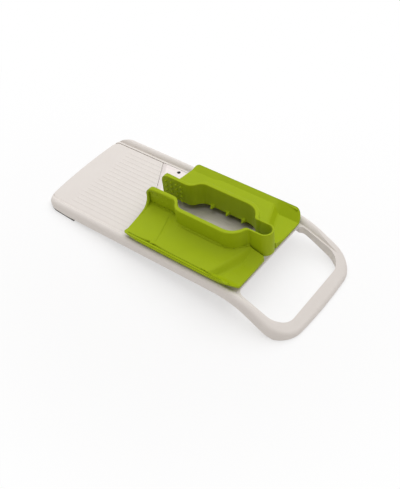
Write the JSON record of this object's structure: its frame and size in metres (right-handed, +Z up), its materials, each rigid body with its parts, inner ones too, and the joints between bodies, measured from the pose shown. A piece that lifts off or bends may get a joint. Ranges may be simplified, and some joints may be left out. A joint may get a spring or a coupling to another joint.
{
  "type": "mandoline slicer",
  "caption": "Flat kitchen slicer with a bent-down handle loop, ridged ramp, diagonal steel blade and a squeeze grip for the food that slides along the rails.",
  "frame": {"origin": "centre of the footprint, on the table", "axes": "+X along the slicer towards the handle loop, +Y to the far side, +Z up; the tray rises by 5.8 degrees towards +X"},
  "size_m": [0.3402, 0.14, 0.0687],
  "materials": {
    "body_plastic": "smooth satin, warm off-white",
    "grip_plastic": "smooth satin, lime green",
    "blade_steel": "brushed along the tray",
    "fastener_steel": "plain",
    "dark_steel": "blackened",
    "foot_rubber": "matt",
    "dial_plastic": "satin grey"
  },
  "bodies": {
    "frame": {"frame": "body_plastic", "front_foot": "foot_rubber", "handle_foot": "foot_rubber", "ramp_pins": "fastener_steel", "blade": "blade_steel", "blade_bed": "body_plastic", "blade_rivets": "dark_steel", "bed_screws": "fastener_steel", "bracket_screws": "fastener_steel", "dial_bracket": "body_plastic", "dial_screw": "fastener_steel", "dial_washer": "fastener_steel"},
    "ramp": {"ramp_plate": "body_plastic"},
    "dial": {"thickness_dial": "dial_plastic"},
    "far_half": {"far_wing": "grip_plastic", "far_jaw": "grip_plastic", "spring_loop": "grip_plastic"},
    "near_half": {"near_wing": "grip_plastic", "near_jaw": "grip_plastic"}
  },
  "joints": [
    {"name": "grip_slide", "type": "slide", "parent": "frame", "child": "far_half", "axis": [0.9949, 0, 0.101], "range_m": [-0.105, 0]},
    {"name": "grip_squeeze", "type": "hinge", "parent": "far_half", "child": "near_half", "pos_m": [0.09151, 0, 0.0518], "axis": [0.101, 0, -0.9949], "range_deg": [0, 6.5], "stiffness_Nm_per_rad": 0.8, "deforming": ["spring_loop"]},
    {"name": "dial_turn", "type": "hinge", "parent": "frame", "child": "dial", "pos_m": [-0.08017, -0.024, 0.00623], "axis": [-0.101, 0, 0.9949], "range_deg": [0, 240]},
    {"name": "ramp_tilt", "type": "hinge", "parent": "frame", "child": "ramp", "pos_m": [-0.15533, 0, 0.00403], "axis": [0, 1, 0], "range_deg": [0, 1.58]}
  ],
  "couplings": [
    {"joint": "ramp_tilt", "follows": "dial_turn", "ratio": 0.00658}
  ]
}
